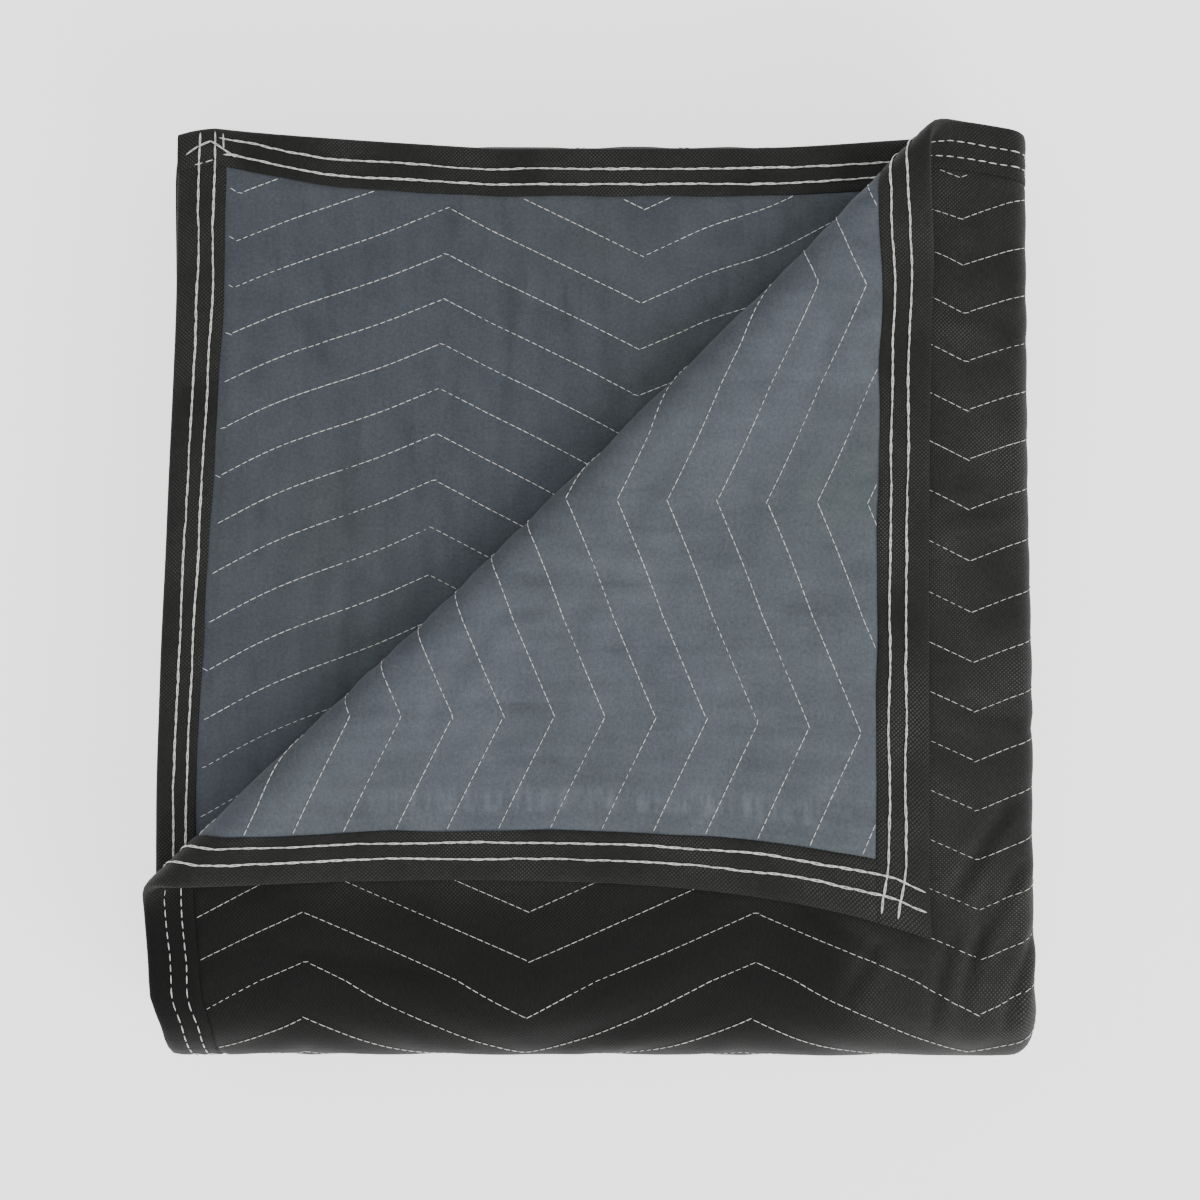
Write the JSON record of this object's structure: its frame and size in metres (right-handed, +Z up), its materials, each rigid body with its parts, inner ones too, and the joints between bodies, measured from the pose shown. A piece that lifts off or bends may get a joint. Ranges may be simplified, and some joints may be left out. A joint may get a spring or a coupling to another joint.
{
  "type": "folded quilted moving blanket",
  "caption": "Quilted moving blanket with bound edges, folded into a square pile with one corner turned back to show its lining.",
  "frame": {"origin": "on the surface that the folded blanket rests on, under the middle of the pile", "axes": "+Z up out of the pile; +X towards the tight side fold and -Y towards the large front fold; the corner at -X +Y is turned back"},
  "size_m": [0.4583, 0.4934, 0.1145],
  "materials": {
    "outer_panel": "matt black nonwoven cloth with an embossed dot grain",
    "lining_panel": "matt blue-grey nonwoven cloth, faintly streaked",
    "end_binding_first": "matt black nonwoven tape with an embossed dot grain",
    "end_binding_last": "matt black nonwoven tape with an embossed dot grain",
    "side_binding_first": "matt black nonwoven tape with an embossed dot grain",
    "side_binding_last": "matt black nonwoven tape with an embossed dot grain"
  },
  "bodies": {
    "root": {"outer_panel": "outer_panel", "lining_panel": "lining_panel", "end_binding_first": "end_binding_first", "end_binding_last": "end_binding_last", "side_binding_first": "side_binding_first", "side_binding_last": "side_binding_last"}
  },
  "joints": []
}
